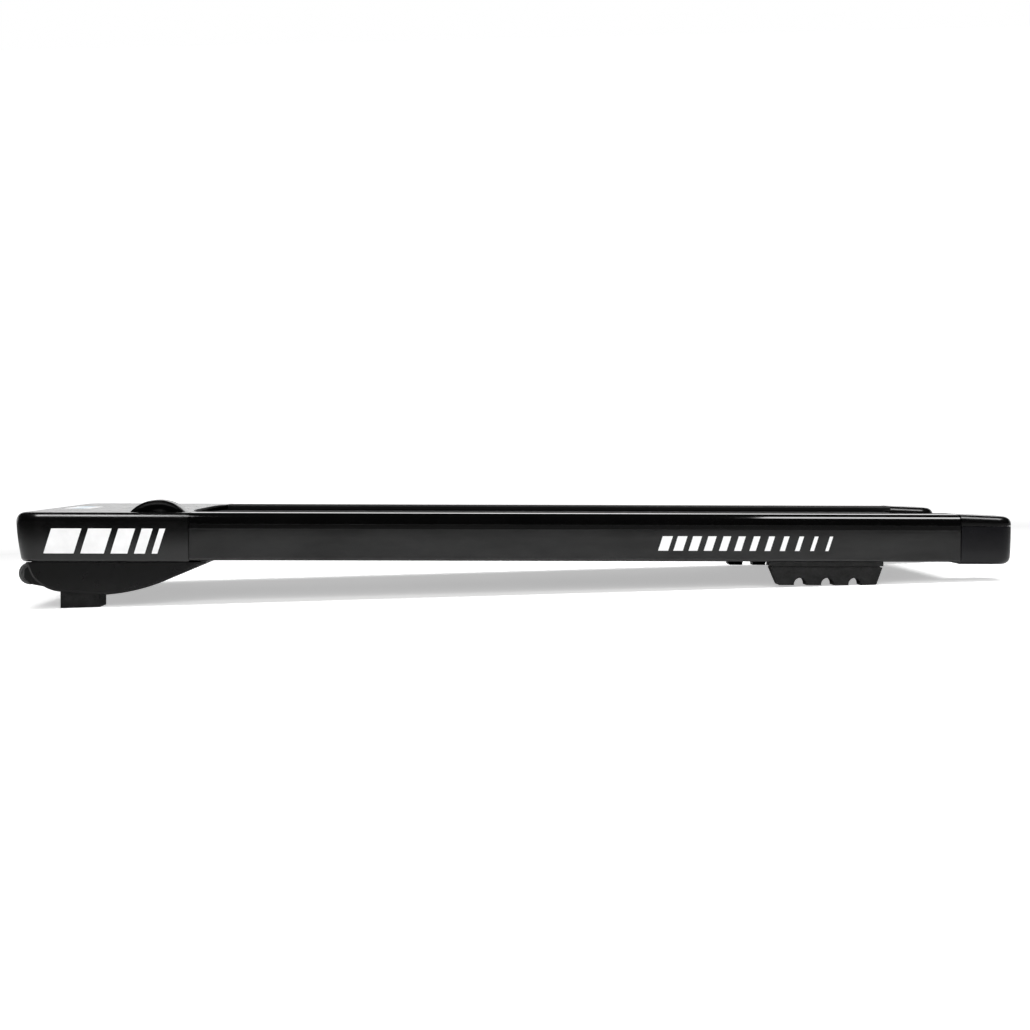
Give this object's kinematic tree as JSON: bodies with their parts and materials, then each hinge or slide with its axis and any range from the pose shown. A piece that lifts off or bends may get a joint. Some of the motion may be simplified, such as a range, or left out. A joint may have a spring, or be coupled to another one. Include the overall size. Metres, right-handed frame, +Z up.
{
  "type": "treadmill",
  "caption": "Flat walking-pad treadmill: low deck with a walking belt between side rails, motor hood with a pulley bulge, rubber feet and transport wheels.",
  "frame": {"origin": "on the floor, under the middle of the whole treadmill", "axes": "+X towards the rear end, away from the motor hood; +Y towards the user's right as they face the hood; +Z up"},
  "size_m": [1.2098, 0.5, 0.1268],
  "materials": {
    "gloss_black": "high gloss black moulding",
    "satin_black": "satin, faintly blue black",
    "matte_black": "fine matte texture",
    "rail_paint": "satin black powder coat",
    "frame_paint": "matte black paint",
    "belt": "matte black belt with a fine woven-look emboss",
    "drive_belt_rubber": "ribbed belt rubber",
    "foot_rubber": "matte grainy rubber",
    "wheel_rubber": "matte grainy rubber",
    "deck_wood": "fibreboard",
    "smoked_lens": "smoked clear plastic, polished",
    "circuit_board": "solder-resist green",
    "aluminium": "machined",
    "motor_paint": "semi-gloss",
    "switch_black": "satin",
    "rocker_red": "glossy",
    "button_white": "satin",
    "lead_sheath": "soft sheath",
    "roller_steel": "turned steel",
    "bare_steel": "ground steel",
    "zinc_screws": "zinc plated"
  },
  "bodies": {
    "frame": {"belly_pan": "matte_black", "breaker_body": "switch_black", "chassis_plate_left": "frame_paint", "chassis_plate_right": "frame_paint", "controller_board": "circuit_board", "controller_heatsink": "aluminium", "cover_screws": "zinc_screws", "cross_tube_1": "frame_paint", "cross_tube_2": "frame_paint", "cross_tube_3": "frame_paint", "cross_tube_4": "frame_paint", "cross_tube_5": "frame_paint", "deck_board": "deck_wood", "deck_cushions": "foot_rubber", "deck_screws": "zinc_screws", "display_board": "circuit_board", "display_lead": "lead_sheath", "display_window": "smoked_lens", "drive_belt": "drive_belt_rubber", "drive_roller_shaft": "bare_steel", "frame_bolts": "zinc_screws", "front_foot_bolts": "zinc_screws", "front_foot_left": "foot_rubber", "front_foot_right": "foot_rubber", "hood_cover": "gloss_black", "mains_lead": "lead_sheath", "motor_casing": "motor_paint", "motor_cradle": "frame_paint", "motor_lead": "lead_sheath", "motor_tray": "frame_paint", "power_inlet": "switch_black", "rail_cover_left": "gloss_black", "rail_cover_right": "gloss_black", "rear_bracket_left": "frame_paint", "rear_bracket_right": "frame_paint", "rear_cap_left": "satin_black", "rear_cap_right": "satin_black", "rear_foot_left": "foot_rubber", "rear_foot_right": "foot_rubber", "rear_foot_screws": "zinc_screws", "rear_roller_shaft": "bare_steel", "side_rail_left": "rail_paint", "side_rail_right": "rail_paint", "switch_frame": "switch_black", "tension_bolts": "zinc_screws", "walking_belt": "belt", "wheel_axles": "bare_steel", "wheel_bracket_left": "matte_black", "wheel_bracket_right": "matte_black"},
    "drive_roller": {"drive_roller": "roller_steel", "drive_roller_bearings": "bare_steel", "drive_pulley": "aluminium"},
    "rear_roller": {"rear_roller": "roller_steel", "rear_roller_bearings": "bare_steel"},
    "motor_rotor": {"motor_rotor": "bare_steel", "motor_pulley": "aluminium"},
    "wheel_left": {"transport_wheel_left": "wheel_rubber"},
    "wheel_right": {"transport_wheel_right": "wheel_rubber"},
    "rocker": {"switch_rocker": "rocker_red"},
    "reset_button": {"breaker_button": "button_white"}
  },
  "joints": [
    {"name": "motor_spin", "type": "hinge", "parent": "frame", "child": "motor_rotor", "pos_m": [-0.52974, -0.09, 0.06716], "axis": [0, 1, 0], "continuous": true},
    {"name": "drive_roller_spin", "type": "hinge", "parent": "frame", "child": "drive_roller", "pos_m": [-0.43475, 0, 0.08128], "axis": [0, 1, 0], "continuous": true},
    {"name": "rear_roller_spin", "type": "hinge", "parent": "frame", "child": "rear_roller", "pos_m": [0.52828, 0, 0.05102], "axis": [0, 1, 0], "continuous": true},
    {"name": "wheel_left_spin", "type": "hinge", "parent": "frame", "child": "wheel_left", "pos_m": [-0.58653, -0.222, 0.04283], "axis": [0, 1, 0], "continuous": true},
    {"name": "wheel_right_spin", "type": "hinge", "parent": "frame", "child": "wheel_right", "pos_m": [-0.58653, 0.222, 0.04283], "axis": [0, 1, 0], "continuous": true},
    {"name": "power_rocker", "type": "hinge", "parent": "frame", "child": "rocker", "pos_m": [-0.59976, 0.163, 0.08252], "axis": [-0.0694, 0, 0.9976], "range_deg": [-12, 0]},
    {"name": "breaker_reset", "type": "slide", "parent": "frame", "child": "reset_button", "axis": [0.9976, 0, 0.0694], "range_m": [0, 0.0015], "stiffness_N_per_m": 800}
  ],
  "couplings": [
    {"joint": "drive_roller_spin", "follows": "motor_spin", "ratio": 0.32489},
    {"joint": "rear_roller_spin", "follows": "motor_spin", "ratio": 0.32489}
  ]
}
